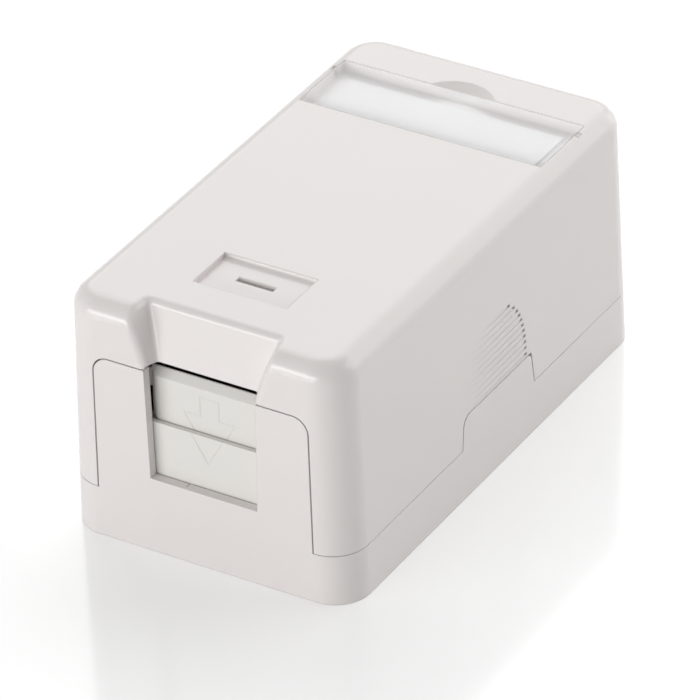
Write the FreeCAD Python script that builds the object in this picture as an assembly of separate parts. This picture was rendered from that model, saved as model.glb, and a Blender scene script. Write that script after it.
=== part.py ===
import FreeCAD, Part
import math
import os
from FreeCAD import Vector

# Single-port surface mount jack box: a tray base whose front plate carries a two-leaf
# sliding shutter, a lift-off cover with a label window, and a snap-in jack.
# Millimetres. X to the right seen from the front, Y towards the rear, Z up.
# The origin is the centre of the box outline on the mounting surface.

# ---- overall form -------------------------------------------------------------------
box_width = 38.5
box_length = 69.0
box_height = 32.1
corner_radius = 4.5
smallest_corner = 0.4
top_radius = 2.5
side_draft = 1.25            # degrees, both sides
rear_draft = 1.10            # degrees, rear wall; the front stands square

wall = 1.8
top_wall = 2.0
inner_chamfer = 0.8          # under the cover's top edge
floor = 1.8
split_height = 6.65          # where the cover meets the tray
split_gap = 0.08             # shadow line along the split
plate_gap = 0.17             # shadow line around the front plate
tab_gap = 0.15               # shadow line around the side tabs
slide_gap = 0.15             # running clearance of a sliding leaf
fit_gap = 0.10               # clearance of a located or pushed-in piece
overrun = 1.0                # how far a cutter runs past the surface it opens
bite = 0.1                   # how far one form sinks into the next
near = 0.01                  # closeness that picks an edge

# ---- front plate and port -----------------------------------------------------------
lip_below_top = 6.85         # the cover's lip above the port, below the top
plate_below_lip = 0.51
plate_half_low = 14.42
plate_half_high = 14.27
plate_corner = 2.0
plate_thickness = 2.2
port_half_low = 7.18
port_half_high = 7.46
port_sill = 10.13
sill_thickness = 1.2         # plate thickness around the port
sill_slit = 0.12
sill_slit_offset = 2.6

# ---- shutter leaves -----------------------------------------------------------------
leaf_front = 1.35            # depth of the lower leaf's face behind the front
lower_leaf_thickness = 0.60
upper_leaf_thickness = 1.00
leaf_space = 0.16            # between the two leaves
leaf_step = 0.16             # the lower leaf's top above the middle of the closed height
lower_leaf_half = 7.70
upper_leaf_half = 8.10
upper_leaf_below_lip = 1.30
upper_leaf_flat = 6.75       # half width of the flat face between the rolled sides
upper_leaf_roll = 1.80
head_height = 0.95
head_bevel = 0.85
wing_setback = 0.45
wing_drop = 2.75
wing_top_drop = 0.35
ear_half = 8.40
ear_height = 1.40
foot_height = 0.60
leaf_overlap = 0.80
pit_floor = 1.20
arrow_depth = 0.025
arrow_line = 0.16
arrow_head_half = 3.60
arrow_stem_half = 1.35
arrow_drop = 3.80            # tip below the lower leaf's top edge
arrow_shoulder_rise = 2.20
arrow_rise = 4.80

# ---- cover --------------------------------------------------------------------------
recess_depth_low = 1.90      # the thumb recess leans back and flares upwards
recess_depth_high = 3.93
recess_back_low = 6.63
recess_back_high = 8.95
recess_flare = 1.40
recess_flare_bow = 0.85
recess_backing = 1.40
recess_crease = 0.5
recess_round = 1.0
recess_drop = 0.60           # the recess runs this far below the lip
pocket_half = 6.25
pocket_front = 9.30
pocket_rear = 16.40
pocket_depth = 0.60
pocket_round = 0.55
slot_half = 2.50
slot_front = 12.50
slot_rear = 13.27
slot_round = 0.30
label_half = 16.55
label_front = 50.00
label_rear = 60.70
window_thickness = 1.30
window_roll_length = 2.60
window_roll_drop = 1.15
snap_drop = 0.25
card_thickness = 0.20
card_margin = 1.70
card_relief = 0.15
label_backing = 1.20
label_notch_from_rear = 2.00
label_notch = 0.50
scallop_radius = 5.36
scallop_setback = 3.00
scallop_rise = 7.70
tongue_half = 4.00
tongue_offset = 9.00
tongue_length = 2.50
tongue_thickness = 1.20

# ---- side tabs and knock-outs -------------------------------------------------------
tab_front = 26.45
tab_rear = 43.40
tab_top = 10.88
tab_taper = 0.55
tab_radius = 1.6
tab_rear_corner = 0.90
notch_rear_corner = 0.25
tab_root = 1.0               # how far a tab reaches down into the tray's wall
knockout_centre = 35.0
knockout_half = 6.90
knockout_crown = 20.90
knockout_rise_power = 2.6
knockout_side_power = 2.3
groove_pitch = 0.86
groove_first = 0.75          # of a pitch, from the tab's top to the first groove
groove_width = 0.38
groove_depth = 0.10          # near the rear end; the grooves run out towards the front
pit_length = 0.40            # the pit at each groove's rear end
pit_depth = 0.35
knockout_web = 0.90
knockout_foot = 0.5
knockout_steps = 8

# ---- base interior ------------------------------------------------------------------
lip_height = 1.60
lip_thickness = 0.90
lip_clear = 2.0
lip_root = 0.5
guide_wall = 1.20
guide_flange = 0.80
guide_rise = 0.40
front_web_depth = 0.5
cradle_wall = 1.50
cradle_front = 6.00
cradle_rear = 16.00
bridge_thickness = 1.60
bridge_front = 11.60
hook_half = 2.20
hook_thickness = 1.15
hook_rise = 1.35
keeper_thickness = 1.10
keeper_drop = 1.25
screw_spacing = 25.0
screw_hole_radius = 2.10
screw_head_radius = 4.00
screw_boss_radius = 5.20
screw_boss_height = 1.00
anchor_offset = 9.00
anchor_depth = 52.0
anchor_half = 6.00
anchor_eye_half = 3.60
anchor_height = 3.60
anchor_eye_height = 1.90
anchor_width = 3.00
pad_half_width = 6.00
pad_length = 13.00
pad_offset_x = 9.00
pad_thickness = 0.70
liner_thickness = 0.12
inlet_half = 5.50
inlet_depth = 59.5
inlet_tail = 2.0
inlet_groove = 0.60

# ---- jack ---------------------------------------------------------------------------
jack_face = 4.20             # depth of the jack's face behind the front
jack_half = 7.25
jack_height = 16.00
jack_length = 15.50
latch_room = 1.30            # between the jack's top and the bridge
socket_half = 5.95
socket_rise = 2.90
socket_height = 6.90
socket_length = 12.80
key_half = 3.20
key_height = 1.60
key_slot_half = 1.70
key_slot_height = 1.50
catch_setback = 4.00
catch_inset = 1.00
catch_height = 1.30
catch_length = 1.80
latch_start = 0.80
latch_root = 2.60
latch_fillet = 0.40
latch_thickness = 0.90
latch_half = 5.00
latch_length = 9.50
latch_rise = 0.35
latch_sunk = 0.20
relief_margin = 0.50
relief_depth = 1.00
insert_half = 6.20
insert_thickness = 0.80
insert_setback = 2.20
insert_comb = 0.80           # uncut front edge of the comb
insert_web = 0.25
insert_space = 0.02
insert_backstop = 1.00
insert_backstop_height = 4.60
insert_backstop_inset = 0.40
insert_heel = 0.20
hood_drop = 3.00
contact_count = 8
contact_pitch = 1.02
contact_thickness = 0.30
contact_width = 0.46
contact_setback = 3.40
contact_rear_space = 0.70
contact_tail = 2.60
contact_bend = 0.50
contact_bend_rise = 0.80
contact_reach = 5.60
contact_rise = 3.60
board_rise = 0.60
board_thickness = 1.20
board_half = 7.60
board_space = 0.30
board_rear = 32.80
board_hole_radius = 0.45
board_hole_offset = 2.00
block_half = 8.00
block_front = 20.90
block_length = 11.60
block_space = 0.05
block_base_height = 5.00
block_chamfer = 0.50
tower_height = 8.20
row_inner = 3.20
terminal_count = 4
terminal_pitch = 2.54
terminal_slot = 0.60
terminal_slot_floor = 1.50
terminal_mouth = 0.45
terminal_mouth_depth = 1.00
blade_thickness = 0.40
blade_half = 0.95
blade_slit = 0.30
blade_slit_depth = 4.50
blade_mouth = 0.55
blade_mouth_depth = 0.90
blade_below_top = 1.60
blade_roof = 1.20
cap_skin = 0.80
cap_skirt = 5.20
cap_round = 0.50
cap_way_half = 0.70
cap_roof = 3.00

# ---- worked out from the above ------------------------------------------------------
front_y = -box_length / 2
side_slope = math.tan(math.radians(side_draft))
rear_slope = math.tan(math.radians(rear_draft))
port_lip = box_height - lip_below_top
plate_top = port_lip - plate_below_lip
upper_leaf_top = port_lip - upper_leaf_below_lip
lower_leaf_top = (port_sill + upper_leaf_top) / 2 + leaf_step
upper_leaf_front = leaf_front + lower_leaf_thickness + leaf_space
upper_leaf_back = upper_leaf_front + upper_leaf_thickness
channel_back = upper_leaf_back + slide_gap
channel_half = ear_half + slide_gap
lower_leaf_travel = lower_leaf_top - port_sill + fit_gap / 2
lower_leaf_bottom = pit_floor + fit_gap + lower_leaf_travel
upper_leaf_travel = upper_leaf_top - port_sill + fit_gap / 2 - lower_leaf_travel
upper_leaf_bottom = lower_leaf_bottom + foot_height + fit_gap + upper_leaf_travel
guide_top = upper_leaf_bottom + leaf_overlap + guide_rise
label_floor = box_height - window_thickness - card_thickness
hook_top = box_height - top_wall - slide_gap
bridge_bottom = hook_top - hook_rise - bridge_thickness
hook_front = slot_rear + slide_gap
jack_bottom = bridge_bottom - latch_room - jack_height
jack_top = jack_bottom + jack_height
jack_rear = jack_face + jack_length
socket_floor = jack_bottom + socket_rise
socket_top = socket_floor + socket_height
socket_end = jack_face + socket_length
board_bottom = jack_bottom + board_rise
board_top = board_bottom + board_thickness
insert_bottom = board_top + insert_space
block_bottom = board_top + block_space
block_top = block_bottom + block_base_height + tower_height
block_rear = block_front + block_length
blade_x = (block_half + row_inner) / 2
terminal_first = block_front + block_length / 2 - (terminal_count - 1) / 2 * terminal_pitch


def depth(value):
    """Y of a point that lies value behind the front face."""
    return front_y + value


def block(x0, x1, d0, d1, z0, z1):
    """A box between two X values, two depths behind the front, and two heights."""
    return Part.makeBox(x1 - x0, d1 - d0, z1 - z0, Vector(x0, depth(d0), z0))


def mirrored(shape):
    """The same shape on the other side of the middle plane."""
    return shape.mirror(Vector(0, 0, 0), Vector(1, 0, 0))


def both_sides(shape):
    return [shape, mirrored(shape)]


def joined(shapes):
    return shapes[0].fuse(shapes[1:]).removeSplitter()


def prism_y(points, d0, d1):
    """Extrudes an outline of (x, z) points from one depth to another."""
    wire = Part.makePolygon([Vector(x, depth(d0), z) for x, z in points + points[:1]])
    return Part.Face(wire).extrude(Vector(0, d1 - d0, 0))


def prism_x(points, x0, x1):
    """Extrudes an outline of (depth, z) points from one X to another."""
    wire = Part.makePolygon([Vector(x0, depth(d), z) for d, z in points + points[:1]])
    return Part.Face(wire).extrude(Vector(x1 - x0, 0, 0))


def prism_z(points, z0, z1):
    """Extrudes an outline of (x, depth) points from one height to another."""
    wire = Part.makePolygon([Vector(x, depth(d), z0) for x, d in points + points[:1]])
    return Part.Face(wire).extrude(Vector(0, 0, z1 - z0))


def rounded(shape, radius, chosen):
    """Fillets the edges that the test picks."""
    edges = [edge for edge in shape.Edges if chosen(edge)]
    return shape.makeFillet(radius, edges)


def runs_along(edge, axis):
    """True for a straight edge parallel to the axis."""
    if not isinstance(edge.Curve, Part.Line):
        return False
    return abs(abs(edge.Curve.Direction.dot(axis)) - 1) < 1e-6


def drafted(z0, z1, inset):
    """The box form between two heights, moved inwards by inset."""
    low = box_width / 2 - z0 * side_slope - inset
    high = box_width / 2 - z1 * side_slope - inset
    across = prism_y([(-low, z0), (low, z0), (high, z1), (-high, z1)], -overrun, box_length + overrun)
    rear_low = box_length - z0 * rear_slope - inset
    rear_high = box_length - z1 * rear_slope - inset
    along = prism_x([(inset, z0), (rear_low, z0), (rear_high, z1), (inset, z1)], -box_width, box_width)
    return rounded(across.common(along), max(corner_radius - inset, smallest_corner),
                   lambda e: e.BoundBox.ZLength > (z1 - z0) / 2)


def outer_form():
    form = drafted(0, box_height, 0)
    return rounded(form, top_radius, lambda e: e.BoundBox.ZMin > box_height - near)


def plate_prism(grow, d0, d1):
    """The front plate, or the cover's opening for it, with rounded upper corners."""
    half_low = plate_half_low + grow
    half_high = plate_half_high + grow
    points = [(-half_low, 0), (half_low, 0), (half_low, split_height)]
    points += [(half_high, plate_top + grow), (-half_high, plate_top + grow), (-half_low, split_height)]
    return rounded(prism_y(points, d0, d1), plate_corner + grow,
                   lambda e: runs_along(e, Vector(0, 1, 0)) and e.BoundBox.ZMin > plate_top - plate_corner)


def tab_prism(grow, rear_corner, x0, x1):
    """A side tab of the base, or the notch for it, between two X values."""
    top = tab_top + grow
    root = split_height - tab_root
    rear_top = tab_rear - tab_taper + grow
    front_top = tab_front + tab_taper - grow
    points = [(tab_front - grow, root), (tab_rear + grow, root), (tab_rear + grow, split_height)]
    points += [(rear_top, top), (front_top, top), (tab_front - grow, split_height)]
    solid = prism_x(points, x0, x1)
    for radius, corner in ((tab_radius, front_top), (rear_corner, rear_top)):
        solid = rounded(solid, radius,
                        lambda e: runs_along(e, Vector(1, 0, 0)) and e.BoundBox.ZMin > top - near
                        and abs(e.BoundBox.YMin - depth(corner)) < near)
    return solid


def recess_section(z, grow):
    """Plan outline of the thumb recess at height z, as a closed wire."""
    share = (z - port_lip) / lip_below_top
    front_half = port_half_high + recess_flare * share + recess_flare_bow * share ** 2 + grow
    back_half = recess_back_low + (recess_back_high - recess_back_low) * share + grow
    back = recess_depth_low + (recess_depth_high - recess_depth_low) * share + grow
    ahead = front_half + (front_half - back_half) / back * overrun
    points = [(-ahead, -overrun), (ahead, -overrun), (back_half, back), (-back_half, back)]
    return Part.makePolygon([Vector(x, depth(d), z) for x, d in points + points[:1]])


def recess_form(grow, z0, steps):
    """The leaning, flaring thumb recess above the port; grown, it is the backing behind it."""
    span = box_height + overrun - z0
    heights = [z0 + span * i / steps for i in range(steps + 1)]
    return Part.makeLoft([recess_section(z, grow) for z in heights], True, steps == 1)


def with_recess(shape):
    """Cuts the thumb recess, its back corners and its back edge at the top rounded."""
    recess = rounded(recess_form(0, port_lip - recess_drop, 3), recess_crease,
                     lambda e: e.BoundBox.ZLength > lip_below_top / 2 and e.BoundBox.YMin > front_y)
    return rounded(shape.cut(recess), recess_round,
                   lambda e: e.BoundBox.ZMin > box_height - near and e.BoundBox.XLength > recess_back_high
                   and e.BoundBox.YMax < depth(recess_depth_high + overrun)
                   and e.BoundBox.YMin > depth(recess_depth_high - overrun))


def knockout_reach(z):
    """Half width of the knock-out's half oval at height z."""
    share = (z - tab_top) / (knockout_crown - tab_top)
    return knockout_half * (1 - share ** knockout_rise_power) ** (1 / knockout_side_power)


def knockout_grooves():
    """Grooves of the +X side's knock-out, as cutters; each deepens towards a pit at the rear."""
    cutters = []
    count = int((knockout_crown - tab_top) / groove_pitch)
    for i in range(count):
        z = tab_top + groove_pitch * (i + groove_first)
        half = knockout_reach(z)
        face = box_width / 2 - z * side_slope
        front, rear = knockout_centre - half, knockout_centre + half
        points = [(face, front), (face - groove_depth, rear - pit_length)]
        points += [(face - pit_depth, rear - pit_length), (face - pit_depth, rear)]
        points += [(face + overrun, rear), (face + overrun, front)]
        cutters.append(prism_z(points, z - groove_width / 2, z + groove_width / 2))
    return cutters


def knockout_thinning():
    """The hollow behind one knock-out, which leaves a thin web to break out."""
    rise = (knockout_crown - tab_top) / knockout_steps
    heights = [split_height + knockout_foot] + [tab_top + rise * i for i in range(knockout_steps)]
    reach = [knockout_half] + [knockout_reach(z) for z in heights[1:]]
    points = [(knockout_centre - r, z) for r, z in zip(reach, heights)]
    points += [(knockout_centre, knockout_crown)]
    points += [(knockout_centre + r, z) for r, z in zip(reach[::-1], heights[::-1])]
    face = box_width / 2 - knockout_crown * side_slope
    return prism_x(points, face - wall - overrun, face - knockout_web - pit_depth)


def make_cover(outer):
    upper = outer.common(block(-box_width, box_width, -overrun, box_length + overrun,
                               split_height + split_gap, box_height + overrun))
    upper = with_recess(upper)
    inner_top = box_height - top_wall
    inside = drafted(split_height - overrun, inner_top, wall)
    inside = inside.makeChamfer(inner_chamfer,
                                [e for e in inside.Edges if e.BoundBox.ZMin > inner_top - near])
    # material behind the thumb recess and below the label, and the rib behind the latch hook
    backing = recess_form(recess_backing, port_lip, 1).common(upper)
    seat = block(-label_half - fit_gap, label_half + fit_gap, label_front - overrun, label_rear + overrun,
                 label_floor - label_backing, inner_top + bite)
    seat = seat.common(drafted(split_height, box_height, wall / 2))
    keeper_front = hook_front + hook_thickness + slide_gap
    keeper = block(-hook_half, hook_half, keeper_front, keeper_front + keeper_thickness,
                   inner_top - keeper_drop, inner_top + bite)
    tongues = [rear_tongue(x) for x in (-tongue_offset, tongue_offset)]
    shell = upper.cut(inside).fuse([backing, seat, keeper] + tongues)
    # openings and hollows
    cutters = [plate_prism(plate_gap, -overrun, wall + overrun)]
    cutters += [block(-port_half_high, port_half_high, -overrun, wall + overrun, 0, port_lip)]
    cutters += both_sides(tab_prism(tab_gap, notch_rear_corner, box_width / 2 - wall - overrun,
                                    box_width / 2 + overrun))
    cutters += [label_pocket(), scallop(), latch_slot(), top_pocket()]
    for cutter in knockout_grooves() + [knockout_thinning()]:
        cutters += both_sides(cutter)
    shell = shell.cut(cutters)
    return rounded(shell, slot_round,
                   lambda e: runs_along(e, Vector(1, 0, 0))
                   and abs(e.BoundBox.ZMin - (box_height - pocket_depth)) < near
                   and abs(e.BoundBox.YMin - depth(slot_rear)) < near)


def rear_tongue(x):
    """Tongue on the rear wall that drops inside the base's lip."""
    lip_inside = box_length - split_height * rear_slope - wall - lip_thickness - fit_gap
    back = lip_inside - 2 * fit_gap
    foot_low = split_height + lip_height + 2 * fit_gap
    tongue = block(x - tongue_half, x + tongue_half, back - tongue_thickness, back,
                   split_height - tongue_length, foot_low + tongue_thickness)
    foot = block(x - tongue_half, x + tongue_half, back - tongue_thickness,
                 back + lip_thickness + 2 * fit_gap + wall / 2, foot_low, foot_low + tongue_thickness)
    return tongue.fuse(foot)


def label_pocket():
    """The seat of the label window in the top, with two snap notches."""
    roof = box_height + overrun
    pocket = block(-label_half, label_half, label_front, label_rear, label_floor, roof)
    notch_at = label_rear - label_notch_from_rear
    notch = block(label_half - bite, label_half + label_notch, notch_at - label_notch,
                  notch_at + label_notch, label_floor, roof)
    return joined([pocket] + both_sides(notch))


def scallop():
    """Finger scallop behind the label window."""
    ball_radius = math.hypot(scallop_radius, scallop_rise)
    centre = Vector(0, depth(label_rear - scallop_setback), box_height + scallop_rise)
    ball = Part.makeSphere(ball_radius, centre)
    return ball.common(block(-box_width, box_width, label_rear - bite, box_length, 0, box_height + overrun))


def top_pocket():
    """Shallow pocket around the latch slot, its rear wall rounded over."""
    pocket = block(-pocket_half, pocket_half, pocket_front, pocket_rear,
                   box_height - pocket_depth, box_height + overrun)
    return rounded(pocket, pocket_round,
                   lambda e: runs_along(e, Vector(1, 0, 0))
                   and abs(e.BoundBox.ZMin - (box_height - pocket_depth)) < near
                   and abs(e.BoundBox.YMin - depth(pocket_rear)) < near)


def latch_slot():
    return block(-slot_half, slot_half, slot_front, slot_rear, box_height - top_wall - bite, box_height)


def make_base(outer):
    tray = outer.common(block(-box_width, box_width, -overrun, box_length + overrun, 0, split_height))
    lip_inset = wall + lip_thickness + fit_gap
    tray = tray.cut(drafted(floor, split_height + overrun, lip_inset))
    lip = drafted(split_height - lip_root, split_height + lip_height, wall + fit_gap)
    lip = lip.cut(drafted(split_height - overrun, split_height + lip_height + overrun, lip_inset))
    lip = lip.cut(block(-plate_half_low - lip_clear, plate_half_low + lip_clear, -overrun,
                        plate_thickness + overrun, 0, box_height))
    plate = plate_prism(0, 0, plate_thickness).common(drafted(0, box_height, 0))
    flanks = both_sides(side_tab())
    shape = joined([tray, lip, plate] + flanks + leaf_guides() + jack_cradle() + floor_details())
    # the port, the leaf pit and everything cut through the floor
    cutters = [port_notch(), leaf_channel()]
    cutters += both_sides(screw_hole())
    cutters += both_sides(pad_recess())
    cutters += [inlet_outline(), sill_mark()]
    return shape.cut(cutters).removeSplitter()


def side_tab():
    """Tab of the side wall that closes the cover's notch."""
    face = tab_prism(0, tab_rear_corner, box_width / 2 - wall, box_width / 2 + overrun)
    return face.common(drafted(0, box_height, 0))


def port_notch():
    """The port, which widens upwards and runs out through the plate's top."""
    widen = (port_half_high - port_half_low) / (plate_top - port_sill) * (box_height - port_sill)
    points = [(-port_half_low, port_sill), (port_half_low, port_sill)]
    points += [(port_half_low + widen, box_height), (-port_half_low - widen, box_height)]
    return prism_y(points, -overrun, plate_thickness + overrun)


def leaf_channel():
    """The hollow in which both leaves slide, open at the top and at the jack."""
    return block(-channel_half, channel_half, sill_thickness, channel_back, pit_floor, box_height)


def leaf_guides():
    """Side walls and rear flanges that keep the leaves' ears in their channel."""
    back = channel_back + guide_flange
    side = block(channel_half, channel_half + guide_wall, sill_thickness, back, 0, guide_top)
    flange = block(jack_half + slide_gap, channel_half + guide_wall, channel_back, back, 0, guide_top)
    apron = block(-channel_half, channel_half, channel_back, back, 0, jack_bottom - fit_gap)
    front_web = block(-channel_half, channel_half, front_web_depth, channel_back, 0, pit_floor)
    return both_sides(side) + both_sides(flange) + [apron, front_web]


def jack_cradle():
    """Side cheeks, catch ledges and latch bridge that hold the snap-in jack."""
    cheek_in = jack_half + slide_gap
    cheek_out = cheek_in + cradle_wall
    bridge_top = bridge_bottom + bridge_thickness
    cheek = block(cheek_in, cheek_out, cradle_front, cradle_rear, 0, bridge_top)
    bridge = block(-cheek_out, cheek_out, bridge_front, cradle_rear, bridge_bottom, bridge_top)
    hook = block(-hook_half, hook_half, hook_front, hook_front + hook_thickness, bridge_bottom, hook_top)
    catch_front = jack_face + catch_setback
    stop_front = catch_front + catch_length + fit_gap
    ledge_top = jack_bottom - fit_gap
    ledge = block(-cheek_in, cheek_in, cradle_front, catch_front - fit_gap, 0, ledge_top)
    stop = block(-cheek_in, cheek_in, stop_front, cradle_rear, 0, ledge_top)
    stop = stop.cut(block(-cheek_in + cradle_wall, cheek_in - cradle_wall, stop_front + cradle_wall,
                          cradle_rear + overrun, floor, jack_bottom))
    return both_sides(cheek) + [bridge, hook, ledge, stop]


def floor_details():
    """Screw bosses and the two cable tie anchors."""
    boss = Part.makeCylinder(screw_boss_radius, floor + screw_boss_height,
                             Vector(screw_spacing / 2, 0, 0))
    anchors = []
    for x in (-anchor_offset, anchor_offset):
        bar = block(x - anchor_half, x + anchor_half, anchor_depth, anchor_depth + anchor_width, 0,
                    floor + anchor_height)
        eye = block(x - anchor_eye_half, x + anchor_eye_half, anchor_depth - overrun,
                    anchor_depth + anchor_width + overrun, floor, floor + anchor_eye_height)
        anchors.append(bar.cut(eye))
    return both_sides(boss) + anchors


def screw_hole():
    """Countersunk mounting hole on the +X side."""
    top = floor + screw_boss_height
    shank = Part.makeCylinder(screw_hole_radius, top + 2 * overrun, Vector(screw_spacing / 2, 0, -overrun))
    cone = Part.makeCone(screw_hole_radius, screw_head_radius, screw_head_radius - screw_hole_radius,
                         Vector(screw_spacing / 2, 0, top - screw_head_radius + screw_hole_radius))
    return shank.fuse(cone)


def pad_recess():
    """Recess for one adhesive pad under the +X side."""
    height = pad_thickness + liner_thickness
    pads = [Part.makeBox(2 * pad_half_width + 2 * fit_gap, pad_length, height,
                         Vector(pad_offset_x - pad_half_width - fit_gap, y, 0))
            for y in (-pad_length - screw_boss_radius, screw_boss_radius)]
    return pads[0].fuse(pads[1])


def inlet_outline():
    """Thinned outline in the floor that can be cut out for a cable from below."""
    outside = block(-inlet_half, inlet_half, inlet_depth - inlet_half, inlet_depth + inlet_tail,
                    -overrun, inlet_groove)
    inner = inlet_half - inlet_groove
    return outside.cut(block(-inner, inner, inlet_depth - inner, inlet_depth + inlet_tail - inlet_groove,
                             -2 * overrun, inlet_groove + overrun))


def sill_mark():
    """Fine slit across the port's sill, where the two halves of the mould meet."""
    x = -sill_slit_offset
    return block(x - sill_slit / 2, x + sill_slit / 2, front_web_depth, sill_thickness + bite,
                 port_sill - sill_slit, port_sill + bite)


def arrow_cutter(face_depth):
    """Outline of a plain downward arrow, as a cutter at a leaf's face."""
    tip = lower_leaf_top - arrow_drop
    shoulder = lower_leaf_top + arrow_shoulder_rise
    top = lower_leaf_top + arrow_rise
    slope = arrow_head_half / (shoulder - tip)
    across = math.hypot(1, slope) / slope

    def drawn(inset):
        wing = arrow_head_half - inset * 2
        stem = arrow_stem_half - inset
        points = [(0, tip + inset * across), (wing, shoulder - inset), (stem, shoulder - inset)]
        points += [(stem, top - inset), (-stem, top - inset)]
        points += [(-stem, shoulder - inset), (-wing, shoulder - inset)]
        return prism_y(points, face_depth - overrun, face_depth + arrow_depth)

    return drawn(0).cut(drawn(arrow_line))


def make_lower_leaf():
    """Lower leaf: plain panel with guide ears and the feet that lift the upper leaf."""
    back = leaf_front + lower_leaf_thickness
    panel = block(-lower_leaf_half, lower_leaf_half, leaf_front, back, lower_leaf_bottom, lower_leaf_top)
    ears = block(-ear_half, ear_half, leaf_front, back, lower_leaf_bottom,
                 lower_leaf_bottom + ear_height)
    foot = block(lower_leaf_half, ear_half, leaf_front, upper_leaf_back,
                 lower_leaf_bottom, lower_leaf_bottom + foot_height)
    return joined([panel, ears] + both_sides(foot)).cut(arrow_cutter(leaf_front))


def make_upper_leaf():
    """Upper leaf: flat face, rolled sides, bevelled top, wings at the top and guide ears below."""
    roll_end = upper_leaf_flat + upper_leaf_roll
    slab = block(-roll_end, roll_end, upper_leaf_front, upper_leaf_front + 2 * upper_leaf_roll,
                 upper_leaf_bottom, upper_leaf_top)
    slab = rounded(slab, upper_leaf_roll,
                   lambda e: runs_along(e, Vector(0, 0, 1))
                   and e.BoundBox.YMin < depth(upper_leaf_front) + near)
    panel = slab.common(block(-upper_leaf_half, upper_leaf_half, upper_leaf_front, upper_leaf_back,
                              upper_leaf_bottom, upper_leaf_top))
    wings = block(-ear_half, ear_half, upper_leaf_front + wing_setback, upper_leaf_back,
                  upper_leaf_top - wing_drop, upper_leaf_top - wing_top_drop)
    ears = block(-ear_half, ear_half, upper_leaf_front, upper_leaf_back, upper_leaf_bottom,
                 upper_leaf_bottom + leaf_overlap)
    ahead = upper_leaf_front - overrun
    bevel = prism_x([(ahead, upper_leaf_top - head_height), (upper_leaf_front, upper_leaf_top - head_height),
                     (upper_leaf_front + head_bevel, upper_leaf_top),
                     (upper_leaf_front + head_bevel, upper_leaf_top + bite), (ahead, upper_leaf_top + bite)],
                    -ear_half - overrun, ear_half + overrun)
    return joined([panel, wings, ears]).cut([bevel, arrow_cutter(upper_leaf_front)])


def make_label_window():
    """Clear cover of the label, flat on top, its front rolled down."""
    low = box_height - window_thickness
    half = label_half - fit_gap
    front = label_front + fit_gap
    rear = label_rear - fit_gap
    plate = block(-half, half, front, rear, low, box_height)
    roll_radius = math.hypot(window_roll_length, window_roll_drop) ** 2 / (2 * window_roll_drop)
    nose = block(-half - overrun, half + overrun, front - overrun, front + window_roll_length,
                 box_height - window_roll_drop, box_height + overrun)
    roll = Part.makeCylinder(roll_radius, 2 * half + 4 * overrun,
                             Vector(-half - 2 * overrun, depth(front + window_roll_length),
                                    box_height - roll_radius), Vector(1, 0, 0))
    plate = plate.cut(nose.cut(roll))
    notch_at = label_rear - label_notch_from_rear
    snap = block(half - bite, half + label_notch, notch_at - label_notch + fit_gap,
                 notch_at + label_notch - fit_gap, low, box_height - snap_drop)
    drop = block(-half + card_margin, half - card_margin, front + card_margin, rear - card_margin,
                 low - overrun, low + card_relief)
    return joined([plate] + both_sides(snap)).cut(drop)


def make_label_card():
    half = label_half - card_margin
    return block(-half, half, label_front + card_margin, label_rear - card_margin,
                 label_floor, label_floor + card_thickness)


def make_jack_housing():
    """Jack body with its socket, the catch below and the latch arm on top."""
    body = block(-jack_half, jack_half, jack_face, jack_rear, jack_bottom, jack_top)
    catch_front = jack_face + catch_setback
    catch = block(-jack_half + catch_inset, jack_half - catch_inset, catch_front,
                  catch_front + catch_length, jack_bottom - catch_height, jack_bottom + bite)
    arm_low = jack_top - latch_sunk
    arm_high = arm_low + latch_thickness
    arm_end = jack_face + latch_length
    root = jack_face + latch_root
    arm = prism_x([(jack_face + latch_start, arm_low), (jack_face + latch_start, arm_high),
                   (arm_end, arm_high + latch_rise), (arm_end, arm_low + latch_rise),
                   (root + latch_fillet, arm_low + latch_rise / 4), (root, arm_low)],
                  -latch_half, latch_half)
    relief = block(-latch_half - relief_margin, latch_half + relief_margin, root, arm_end + relief_margin,
                   jack_top - relief_depth, jack_top + bite)
    ahead = jack_face - overrun
    socket = block(-socket_half, socket_half, ahead, socket_end, socket_floor, socket_top)
    key = block(-key_half, key_half, ahead, socket_end, socket_top - bite, socket_top + key_height)
    key_slot = block(-key_slot_half, key_slot_half, ahead, socket_end,
                     socket_top + key_height - bite, socket_top + key_height + key_slot_height)
    tray = block(-insert_half - fit_gap, insert_half + fit_gap, jack_face + insert_setback - fit_gap,
                 jack_rear + overrun, board_bottom - fit_gap, socket_floor + bite)
    hood = block(-socket_half, socket_half, socket_end - bite, jack_rear + overrun,
                 board_top, socket_top - hood_drop)
    body = body.cut([relief, socket, key, key_slot, tray, hood])
    return joined([body, catch, arm])


def contact_places():
    """X of each spring contact."""
    return [(i - (contact_count - 1) / 2) * contact_pitch for i in range(contact_count)]


def make_contact_insert():
    """Comb that keeps the spring contacts apart."""
    front = jack_face + insert_setback
    comb = block(-insert_half, insert_half, front, socket_end, insert_bottom,
                 insert_bottom + insert_thickness)
    backstop_half = insert_half - insert_backstop_inset
    backstop = block(-backstop_half, backstop_half, socket_end - insert_heel - insert_backstop,
                     socket_end - insert_heel, insert_bottom, insert_bottom + insert_backstop_height)
    half = contact_width / 2 + fit_gap
    slots = [block(x - half, x + half, front + insert_comb, socket_end + bite,
                   insert_bottom + insert_web, insert_bottom + insert_backstop_height + overrun)
             for x in contact_places()]
    return joined([comb, backstop]).cut(slots)


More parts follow.
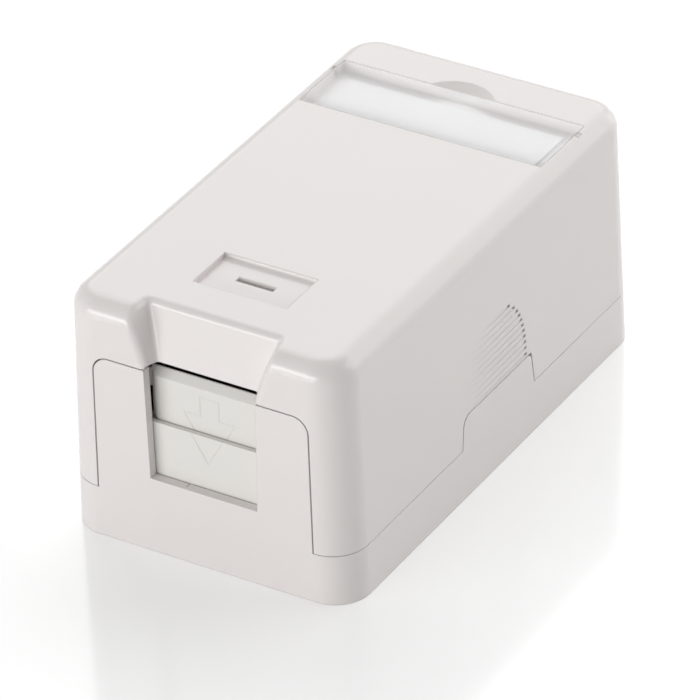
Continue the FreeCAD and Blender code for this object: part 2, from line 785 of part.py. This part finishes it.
def strip_outline(path, thickness):
    """Outline of a bent flat strip that follows (depth, z) points, its bends mitred."""
    normals = []
    for (d0, z0), (d1, z1) in zip(path, path[1:]):
        length = math.hypot(d1 - d0, z1 - z0)
        normals.append(((z0 - z1) / length, (d1 - d0) / length))
    one_side = []
    other_side = []
    for (d, z), before, after in zip(path, normals[:1] + normals, normals + normals[-1:]):
        stretch = thickness / 2 / (1 + before[0] * after[0] + before[1] * after[1])
        shift_d = (before[0] + after[0]) * stretch
        shift_z = (before[1] + after[1]) * stretch
        one_side.append((d + shift_d, z + shift_z))
        other_side.append((d - shift_d, z - shift_z))
    return one_side + other_side[::-1]


def make_jack_contacts():
    """Gold spring contacts, each from the board up into the socket."""
    low = insert_bottom + insert_web + contact_thickness / 2 + fit_gap / 2
    front = jack_face + contact_setback
    rear = socket_end - contact_rear_space
    path = [(rear, low + contact_tail), (rear, low), (front, low),
            (front + contact_bend, low + contact_bend_rise), (front + contact_reach, low + contact_rise)]
    strip = strip_outline(path, contact_thickness)
    half = contact_width / 2
    return Part.makeCompound([prism_x(strip, x - half, x + half) for x in contact_places()])


def terminal_places():
    """Depth of each terminal of a row."""
    return [terminal_first + i * terminal_pitch for i in range(terminal_count)]


def make_jack_board():
    narrow = block(-insert_half, insert_half, jack_face + insert_setback, block_front,
                   board_bottom, board_top)
    wide = block(-board_half, board_half, jack_rear + board_space, board_rear, board_bottom, board_top)
    hole = board_hole_radius
    holes = [block(board_hole_offset - hole, board_hole_offset + hole, d - hole, d + hole,
                   board_bottom - overrun, board_top + overrun) for d in terminal_places()]
    return joined([narrow, wide]).cut([h for hole in holes for h in both_sides(hole)])


def make_terminal_block():
    """Wire block with two rows of slots that open upwards."""
    base = block(-block_half, block_half, block_front, block_rear, block_bottom,
                 block_bottom + block_base_height)
    row = block(row_inner, block_half, block_front, block_rear, block_bottom, block_top)
    row = row.makeChamfer(block_chamfer, [e for e in row.Edges if runs_along(e, Vector(0, 1, 0))
                                          and e.BoundBox.ZMin > block_top - near])
    cutters = []
    half = terminal_slot / 2
    low = block_top - tower_height + terminal_slot_floor
    mouth_low = block_top - terminal_mouth_depth
    room = blade_thickness / 2 + fit_gap
    for d in terminal_places():
        throat = [(d - half, low), (d + half, low), (d + half, mouth_low)]
        throat += [(d + half + terminal_mouth, block_top), (d + half + terminal_mouth, block_top + bite)]
        throat += [(d - half - terminal_mouth, block_top + bite), (d - half - terminal_mouth, block_top)]
        throat += [(d - half, mouth_low)]
        cutters += both_sides(prism_x(throat, row_inner - overrun, block_half + overrun))
        pocket = block(blade_x - room, blade_x + room, d - blade_half - fit_gap, d + blade_half + fit_gap,
                       block_bottom - overrun, block_top - blade_roof)
        cutters += both_sides(pocket)
    return joined([base] + both_sides(row)).cut(cutters)


def make_terminal_contacts(side):
    """Forked blades that cut through the wires' insulation."""
    blades = []
    x0 = blade_x - blade_thickness / 2
    x1 = blade_x + blade_thickness / 2
    top = block_top - blade_below_top
    for d in terminal_places():
        blade = block(x0, x1, d - blade_half, d + blade_half, board_top, top)
        slit = block(x0 - overrun, x1 + overrun, d - blade_slit / 2, d + blade_slit / 2,
                     top - blade_slit_depth, top + overrun)
        mouth = prism_x([(d - blade_mouth, top), (d - blade_mouth, top + bite),
                         (d + blade_mouth, top + bite), (d + blade_mouth, top),
                         (d, top - blade_mouth_depth)], x0 - overrun, x1 + overrun)
        blades.append(blade.cut([slit, mouth]))
    group = Part.makeCompound(blades)
    return group if side > 0 else mirrored(group)


def make_terminal_cap(side):
    """Dust cap pushed over one row of terminals, open at the slots."""
    gap = slide_gap
    skin = gap + cap_skin
    x0 = row_inner - skin
    x1 = block_half + skin
    foot = block_top - cap_skirt
    top = block_top + skin
    cap = block(x0, x1, block_front - skin, block_rear + skin, foot, top)
    cap = rounded(cap, cap_round, lambda e: e.BoundBox.ZMin > top - near)
    hollow = block(row_inner - gap, block_half + gap, block_front - gap, block_rear + gap,
                   foot - overrun, block_top + gap)
    ways = [block(x0 - overrun, x1 + overrun, d - cap_way_half, d + cap_way_half,
                  foot - overrun, block_top - cap_roof) for d in terminal_places()]
    cap = cap.cut([hollow] + ways)
    return cap if side > 0 else mirrored(cap)


def make_pad(side, lower):
    """One adhesive pad, or its release liner, in the +X or -X recesses."""
    z0 = 0 if lower else liner_thickness
    height = liner_thickness if lower else pad_thickness
    strips = [Part.makeBox(2 * pad_half_width, pad_length - 2 * fit_gap, height,
                           Vector(pad_offset_x - pad_half_width, y, z0))
              for y in (-pad_length - screw_boss_radius + fit_gap, screw_boss_radius + fit_gap)]
    group = Part.makeCompound(strips)
    return group if side > 0 else mirrored(group)


outer = outer_form()
pieces = {
    "base": make_base(outer),
    "cover": make_cover(outer),
    "shutter_lower_leaf": make_lower_leaf(),
    "shutter_upper_leaf": make_upper_leaf(),
    "label_window": make_label_window(),
    "label_card": make_label_card(),
    "jack_housing": make_jack_housing(),
    "contact_insert": make_contact_insert(),
    "jack_contacts": make_jack_contacts(),
    "jack_board": make_jack_board(),
    "terminal_block": make_terminal_block(),
    "terminal_contacts_right": make_terminal_contacts(1),
    "terminal_contacts_left": make_terminal_contacts(-1),
    "terminal_cap_right": make_terminal_cap(1),
    "terminal_cap_left": make_terminal_cap(-1),
    "adhesive_pad_right": make_pad(1, False),
    "adhesive_pad_left": make_pad(-1, False),
    "pad_liner_right": make_pad(1, True),
    "pad_liner_left": make_pad(-1, True),
}

os.makedirs("parts", exist_ok=True)
for name, shape in pieces.items():
    shape.exportStep(os.path.join("parts", name + ".step"))
    print(name, len(shape.Solids), "solid(s)", round(shape.Volume, 2), "mm3", shape.isValid())
print("lower leaf travel", round(lower_leaf_travel, 3), "upper leaf travel", round(upper_leaf_travel, 3))
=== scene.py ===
import math

import bpy
from mathutils import Matrix, Vector


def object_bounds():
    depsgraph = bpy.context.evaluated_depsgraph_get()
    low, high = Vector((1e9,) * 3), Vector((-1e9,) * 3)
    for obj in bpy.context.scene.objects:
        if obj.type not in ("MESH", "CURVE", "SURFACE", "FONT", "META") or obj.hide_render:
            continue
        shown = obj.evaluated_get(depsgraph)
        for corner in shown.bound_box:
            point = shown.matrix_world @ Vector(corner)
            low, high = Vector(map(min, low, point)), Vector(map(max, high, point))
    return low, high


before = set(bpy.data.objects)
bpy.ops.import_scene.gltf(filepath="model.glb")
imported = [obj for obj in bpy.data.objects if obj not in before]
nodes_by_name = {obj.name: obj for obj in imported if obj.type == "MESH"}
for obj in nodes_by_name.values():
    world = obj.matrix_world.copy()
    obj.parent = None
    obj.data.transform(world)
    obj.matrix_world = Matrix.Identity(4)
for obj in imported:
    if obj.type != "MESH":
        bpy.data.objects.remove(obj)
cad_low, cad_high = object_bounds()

MM = 0.001
WHITE = (1.0, 1.0, 1.0, 1.0)
SEEN_RAYS = ("Is Camera Ray", "Is Glossy Ray", "Is Transmission Ray")
LIGHTING_RAYS = ("Is Shadow Ray", "Is Diffuse Ray")

# ---- studio -------------------------------------------------------------------------
CAMERA_PLACE = Vector((0.33694, -0.55086, 0.42588))
CAMERA_AZIMUTH = math.radians(31.52)
CAMERA_ELEVATION = math.radians(32.76)
CAMERA_ROLL = math.radians(-1.76)
CAMERA_LENS = 333.2          # mm, on a 36 mm sensor

WORLD_LIGHT = 0.29
LAMP_DISTANCE = 0.9
FLOOR_COLOUR = 0.80
FLOOR_ROUGHNESS = 0.12       # low enough for a faint reflection of the box
FLOOR_LIFT = 0.29            # what the eye sees added to the floor, so that it reads as white
FLOOR_SIZE = 3.0
FLOOR_DROP = 0.02 * MM       # keeps the floor clear of the underside

# ---- finishes -----------------------------------------------------------------------
SHELL_COLOUR = (0.805, 0.764, 0.748)
LEAF_COLOUR = (0.785, 0.770, 0.735)
CARD_COLOUR = (0.93, 0.93, 0.94)
JACK_COLOUR = (0.020, 0.020, 0.022)
INSERT_COLOUR = (0.045, 0.045, 0.048)
GOLD_COLOUR = (0.86, 0.62, 0.26)
BOARD_COLOUR = (0.012, 0.085, 0.030)
TIN_COLOUR = (0.72, 0.71, 0.69)
CAP_COLOUR = (0.70, 0.72, 0.73)
FOAM_COLOUR = (0.72, 0.72, 0.70)
LINER_COLOUR = (0.78, 0.72, 0.50)
WINDOW_COLOUR = (0.965, 0.965, 0.975)
WINDOW_EDGE = 0.12 * MM
WINDOW_HAZE = 0.30           # how much each face of the clear window covers what lies below

# ---- grain, in cycles per metre, and edges ------------------------------------------
MOULD_GRAIN = 5000.0
CARD_GRAIN = 2500.0
LINER_GRAIN = 1500.0
BOARD_GRAIN = 1600.0
FOAM_GRAIN = 2200.0
ROLLING_MARKS = 9000.0
METAL_TINT = 900.0
GLOSS_PATCHES = 90.0
PAPER_SPECULAR = 0.2
EDGE_SAMPLES = 6


# ---- shader groups ------------------------------------------------------------------
def new_group(name, inputs, outputs):
    """An empty shader group; inputs are (name, kind, default), outputs (name, kind)."""
    group = bpy.data.node_groups.new(name, "ShaderNodeTree")
    for label, kind, default in inputs:
        socket = group.interface.new_socket(label, in_out="INPUT", socket_type=kind)
        socket.default_value = default
    for label, kind in outputs:
        group.interface.new_socket(label, in_out="OUTPUT", socket_type=kind)
    return group, group.nodes.new("NodeGroupInput"), group.nodes.new("NodeGroupOutput")


def object_noise(group, scale, detail):
    """Noise over the piece's own coordinates, scale in cycles per metre."""
    place = group.nodes.new("ShaderNodeTexCoord")
    noise = group.nodes.new("ShaderNodeTexNoise")
    noise.inputs["Detail"].default_value = detail
    if isinstance(scale, float):
        noise.inputs["Scale"].default_value = scale
    else:
        group.links.new(scale, noise.inputs["Scale"])
    group.links.new(place.outputs["Object"], noise.inputs["Vector"])
    return noise


def build_tint_group():
    """Faint, broad changes of shade, as moulded plastic has from its flow and its thickness."""
    group, start, end = new_group(
        "moulding_tint",
        [("Colour", "NodeSocketColor", (1, 1, 1, 1)), ("Shade", "NodeSocketFloat", 0.03),
         ("Scale", "NodeSocketFloat", 60.0)],
        [("Colour", "NodeSocketColor")])
    noise = object_noise(group, start.outputs["Scale"], 3.0)
    spread = group.nodes.new("ShaderNodeMapRange")
    spread.inputs["From Min"].default_value = 0.3
    spread.inputs["From Max"].default_value = 0.7
    group.links.new(noise.outputs["Fac"], spread.inputs["Value"])
    amount = group.nodes.new("ShaderNodeMath")
    amount.operation = "MULTIPLY"
    group.links.new(spread.outputs["Result"], amount.inputs[0])
    group.links.new(start.outputs["Shade"], amount.inputs[1])
    darker = group.nodes.new("ShaderNodeMix")
    darker.data_type = "RGBA"
    darker.blend_type = "MULTIPLY"
    darker.inputs["B"].default_value = (0.0, 0.0, 0.0, 1.0)
    group.links.new(amount.outputs["Value"], darker.inputs["Factor"])
    group.links.new(start.outputs["Colour"], darker.inputs["A"])
    group.links.new(darker.outputs["Result"], end.inputs["Colour"])
    return group


def build_grain_group():
    """Fine spark-eroded mould grain: a height for a bump, and a roughness with broad patches."""
    group, start, end = new_group(
        "mould_grain",
        [("Scale", "NodeSocketFloat", MOULD_GRAIN), ("Smoothest", "NodeSocketFloat", 0.30),
         ("Roughest", "NodeSocketFloat", 0.42)],
        [("Height", "NodeSocketFloat"), ("Roughness", "NodeSocketFloat")])
    noise = object_noise(group, start.outputs["Scale"], 2.0)
    patches = object_noise(group, GLOSS_PATCHES, 1.0)
    blend = group.nodes.new("ShaderNodeMix")
    group.links.new(patches.outputs["Fac"], blend.inputs["Factor"])
    group.links.new(start.outputs["Smoothest"], blend.inputs["A"])
    group.links.new(start.outputs["Roughest"], blend.inputs["B"])
    group.links.new(noise.outputs["Fac"], end.inputs["Height"])
    group.links.new(blend.outputs["Result"], end.inputs["Roughness"])
    return group


TINT = build_tint_group()
GRAIN = build_grain_group()


# ---- materials ----------------------------------------------------------------------
def new_material(name):
    material = bpy.data.materials.new(name)
    material.use_nodes = True
    return material, material.node_tree.nodes["Principled BSDF"]


def add_group(material, group, **values):
    node = material.node_tree.nodes.new("ShaderNodeGroup")
    node.node_tree = group
    for label, value in values.items():
        node.inputs[label].default_value = value
    return node


def soft_edges(material, radius):
    """A normal that rounds sharp edges by a small radius, as moulded edges are."""
    node = material.node_tree.nodes.new("ShaderNodeBevel")
    node.samples = EDGE_SAMPLES
    node.inputs["Radius"].default_value = radius
    return node


def any_ray(tree, kinds):
    """A mask that is 1 on rays of any of the named kinds."""
    path = tree.nodes.new("ShaderNodeLightPath")
    mask = path.outputs[kinds[0]]
    for kind in kinds[1:]:
        either = tree.nodes.new("ShaderNodeMath")
        either.operation = "MAXIMUM"
        tree.links.new(mask, either.inputs[0])
        tree.links.new(path.outputs[kind], either.inputs[1])
        mask = either.outputs["Value"]
    return mask


def moulded(name, colour, smoothest, roughest, shade, edge, grain_depth,
            grain_scale=MOULD_GRAIN, specular=0.5):
    """Plastic, card or foam with a faint tint, a fine grain and edges rounded by edge."""
    material, shader = new_material(name)
    links = material.node_tree.links
    tint = add_group(material, TINT, Colour=(*colour, 1), Shade=shade)
    grain = add_group(material, GRAIN, Scale=grain_scale, Smoothest=smoothest, Roughest=roughest)
    edges = soft_edges(material, edge)
    bump = material.node_tree.nodes.new("ShaderNodeBump")
    bump.inputs["Strength"].default_value = 1.0
    bump.inputs["Distance"].default_value = grain_depth
    links.new(tint.outputs["Colour"], shader.inputs["Base Color"])
    links.new(grain.outputs["Roughness"], shader.inputs["Roughness"])
    links.new(grain.outputs["Height"], bump.inputs["Height"])
    links.new(edges.outputs["Normal"], bump.inputs["Normal"])
    links.new(bump.outputs["Normal"], shader.inputs["Normal"])
    shader.inputs["Specular IOR Level"].default_value = specular
    return material


def clear_window_plastic():
    """Clear moulded plastic with a faint haze, which lets the lamps through to the card."""
    material, shader = new_material("clear_window")
    tree = material.node_tree
    tint = add_group(material, TINT, Colour=(*WINDOW_COLOUR, 1), Shade=0.02)
    edges = soft_edges(material, WINDOW_EDGE)
    tree.links.new(tint.outputs["Colour"], shader.inputs["Base Color"])
    tree.links.new(edges.outputs["Normal"], shader.inputs["Normal"])
    shader.inputs["Roughness"].default_value = 0.05
    shader.inputs["Specular IOR Level"].default_value = 1.0
    shader.inputs["Alpha"].default_value = WINDOW_HAZE
    through = tree.nodes.new("ShaderNodeBsdfTransparent")
    mix = tree.nodes.new("ShaderNodeMixShader")
    tree.links.new(any_ray(tree, LIGHTING_RAYS), mix.inputs["Fac"])
    tree.links.new(shader.outputs["BSDF"], mix.inputs[1])
    tree.links.new(through.outputs["BSDF"], mix.inputs[2])
    tree.links.new(mix.outputs["Shader"], tree.nodes["Material Output"].inputs["Surface"])
    return material


def metal(name, colour, smoothest, roughest):
    """Plated sheet metal with fine rolling marks."""
    material, shader = new_material(name)
    links = material.node_tree.links
    tint = add_group(material, TINT, Colour=(*colour, 1), Shade=0.12, Scale=METAL_TINT)
    grain = add_group(material, GRAIN, Scale=ROLLING_MARKS, Smoothest=smoothest, Roughest=roughest)
    links.new(tint.outputs["Colour"], shader.inputs["Base Color"])
    links.new(grain.outputs["Roughness"], shader.inputs["Roughness"])
    shader.inputs["Metallic"].default_value = 1.0
    return material


def put_on(material, *names):
    """Gives the named nodes this material in every slot."""
    for name in names:
        mesh = nodes_by_name[name].data
        mesh.materials.clear()
        mesh.materials.append(material)


def dress_pieces():
    put_on(moulded("shell_abs", SHELL_COLOUR, smoothest=0.21, roughest=0.25, shade=0.012,
                   edge=0.20 * MM, grain_depth=0.0004 * MM),
           "base", "cover")
    put_on(moulded("leaf_abs", LEAF_COLOUR, smoothest=0.28, roughest=0.34, shade=0.015,
                   edge=0.16 * MM, grain_depth=0.0005 * MM),
           "shutter_lower_leaf", "shutter_upper_leaf")
    put_on(clear_window_plastic(), "label_window")
    put_on(moulded("card_paper", CARD_COLOUR, smoothest=0.75, roughest=0.9, shade=0.02,
                   edge=0.02 * MM, grain_depth=0.004 * MM, grain_scale=CARD_GRAIN,
                   specular=PAPER_SPECULAR),
           "label_card")
    put_on(moulded("jack_pc", JACK_COLOUR, smoothest=0.30, roughest=0.40, shade=0.04,
                   edge=0.10 * MM, grain_depth=0.002 * MM),
           "jack_housing", "terminal_block")
    put_on(moulded("insert_black", INSERT_COLOUR, smoothest=0.40, roughest=0.55, shade=0.2,
                   edge=0.05 * MM, grain_depth=0.003 * MM),
           "contact_insert")
    put_on(metal("contact_gold", GOLD_COLOUR, smoothest=0.14, roughest=0.26), "jack_contacts")
    put_on(moulded("board_green", BOARD_COLOUR, smoothest=0.25, roughest=0.45, shade=0.4,
                   edge=0.05 * MM, grain_depth=0.006 * MM, grain_scale=BOARD_GRAIN),
           "jack_board")
    put_on(metal("contact_tin", TIN_COLOUR, smoothest=0.25, roughest=0.42),
           "terminal_contacts_right", "terminal_contacts_left")
    put_on(moulded("cap_clear_white", CAP_COLOUR, smoothest=0.18, roughest=0.30, shade=0.04,
                   edge=0.12 * MM, grain_depth=0.001 * MM),
           "terminal_cap_right", "terminal_cap_left")
    put_on(moulded("pad_foam", FOAM_COLOUR, smoothest=0.85, roughest=0.95, shade=0.10,
                   edge=0.05 * MM, grain_depth=0.03 * MM, grain_scale=FOAM_GRAIN,
                   specular=PAPER_SPECULAR),
           "adhesive_pad_right", "adhesive_pad_left")
    put_on(moulded("liner_paper", LINER_COLOUR, smoothest=0.35, roughest=0.50, shade=0.05,
                   edge=0.02 * MM, grain_depth=0.004 * MM, grain_scale=LINER_GRAIN),
           "pad_liner_right", "pad_liner_left")


# ---- studio: floor, light, camera ---------------------------------------------------
def add_floor():
    """A large pale floor with a faint gloss, seen a little lighter than it lights."""
    half = FLOOR_SIZE / 2
    mesh = bpy.data.meshes.new("floor")
    corners = [(-half, -half, 0), (half, -half, 0), (half, half, 0), (-half, half, 0)]
    mesh.from_pydata(corners, [], [(0, 1, 2, 3)])
    floor = bpy.data.objects.new("floor", mesh)
    bpy.context.scene.collection.objects.link(floor)
    floor.location.z = cad_low.z - FLOOR_DROP
    material, shader = new_material("floor_white")
    tree = material.node_tree
    shader.inputs["Roughness"].default_value = FLOOR_ROUGHNESS
    shader.inputs["Base Color"].default_value = (FLOOR_COLOUR,) * 3 + (1,)
    lift = tree.nodes.new("ShaderNodeEmission")
    lift.inputs["Color"].default_value = WHITE
    lift.inputs["Strength"].default_value = FLOOR_LIFT
    added = tree.nodes.new("ShaderNodeAddShader")
    mix = tree.nodes.new("ShaderNodeMixShader")
    tree.links.new(shader.outputs["BSDF"], added.inputs[0])
    tree.links.new(lift.outputs["Emission"], added.inputs[1])
    tree.links.new(any_ray(tree, SEEN_RAYS), mix.inputs["Fac"])
    tree.links.new(shader.outputs["BSDF"], mix.inputs[1])
    tree.links.new(added.outputs["Shader"], mix.inputs[2])
    tree.links.new(mix.outputs["Shader"], tree.nodes["Material Output"].inputs["Surface"])
    mesh.materials.append(material)


def add_world():
    """Even white studio walls: plain light, seen as white behind the object."""
    world = bpy.data.worlds.new("studio")
    world.use_nodes = True
    bpy.context.scene.world = world
    tree = world.node_tree
    light = tree.nodes["Background"]
    light.inputs["Color"].default_value = WHITE
    light.inputs["Strength"].default_value = WORLD_LIGHT
    seen = tree.nodes.new("ShaderNodeBackground")
    seen.inputs["Color"].default_value = WHITE
    seen.inputs["Strength"].default_value = 1.0
    mix = tree.nodes.new("ShaderNodeMixShader")
    tree.links.new(any_ray(tree, SEEN_RAYS), mix.inputs["Fac"])
    tree.links.new(light.outputs["Background"], mix.inputs[1])
    tree.links.new(seen.outputs["Background"], mix.inputs[2])
    tree.links.new(mix.outputs["Shader"], tree.nodes["World Output"].inputs["Surface"])


def add_softbox(name, azimuth, elevation, width, height, power):
    """A lamp that faces the object, in degrees, metres and watts; azimuth 0 stands in front
    of the box and 90 to its right."""
    lamp = bpy.data.lights.new(name, "AREA")
    lamp.shape = "RECTANGLE"
    lamp.size = width
    lamp.size_y = height
    lamp.energy = power
    holder = bpy.data.objects.new(name, lamp)
    bpy.context.scene.collection.objects.link(holder)
    turn = math.radians(azimuth)
    rise = math.radians(elevation)
    aim = (cad_low + cad_high) / 2
    away = Vector((math.sin(turn) * math.cos(rise),
                   -math.cos(turn) * math.cos(rise),
                   math.sin(rise)))
    holder.location = aim + away * LAMP_DISTANCE
    holder.rotation_mode = "QUATERNION"
    holder.rotation_quaternion = away.to_track_quat("Z", "Y")


def add_camera():
    """The long lens that looks down on the front right corner."""
    camera = bpy.data.cameras.new("camera")
    camera.sensor_width = 36.0
    camera.lens = CAMERA_LENS
    camera.clip_start = 0.01
    camera.clip_end = 20.0
    holder = bpy.data.objects.new("camera", camera)
    bpy.context.scene.collection.objects.link(holder)
    forward = Vector((-math.sin(CAMERA_AZIMUTH) * math.cos(CAMERA_ELEVATION),
                      math.cos(CAMERA_AZIMUTH) * math.cos(CAMERA_ELEVATION),
                      -math.sin(CAMERA_ELEVATION)))
    level = Vector((math.cos(CAMERA_AZIMUTH), math.sin(CAMERA_AZIMUTH), 0))
    upright = level.cross(forward)
    right = level * math.cos(CAMERA_ROLL) + upright * math.sin(CAMERA_ROLL)
    up = upright * math.cos(CAMERA_ROLL) - level * math.sin(CAMERA_ROLL)
    turned = Matrix((right, up, -forward)).transposed().to_4x4()
    holder.matrix_world = Matrix.Translation(CAMERA_PLACE) @ turned
    bpy.context.scene.camera = holder


dress_pieces()
add_floor()
add_world()
add_softbox("rear_left_softbox", azimuth=-150, elevation=43, width=0.8, height=0.8, power=3.55)
add_softbox("rear_right_softbox", azimuth=142, elevation=26, width=1.0, height=0.8, power=4.7)
add_softbox("front_strip", azimuth=-18, elevation=10, width=0.9, height=0.24, power=4.68)
add_camera()
bpy.context.scene.view_settings.view_transform = "Standard"
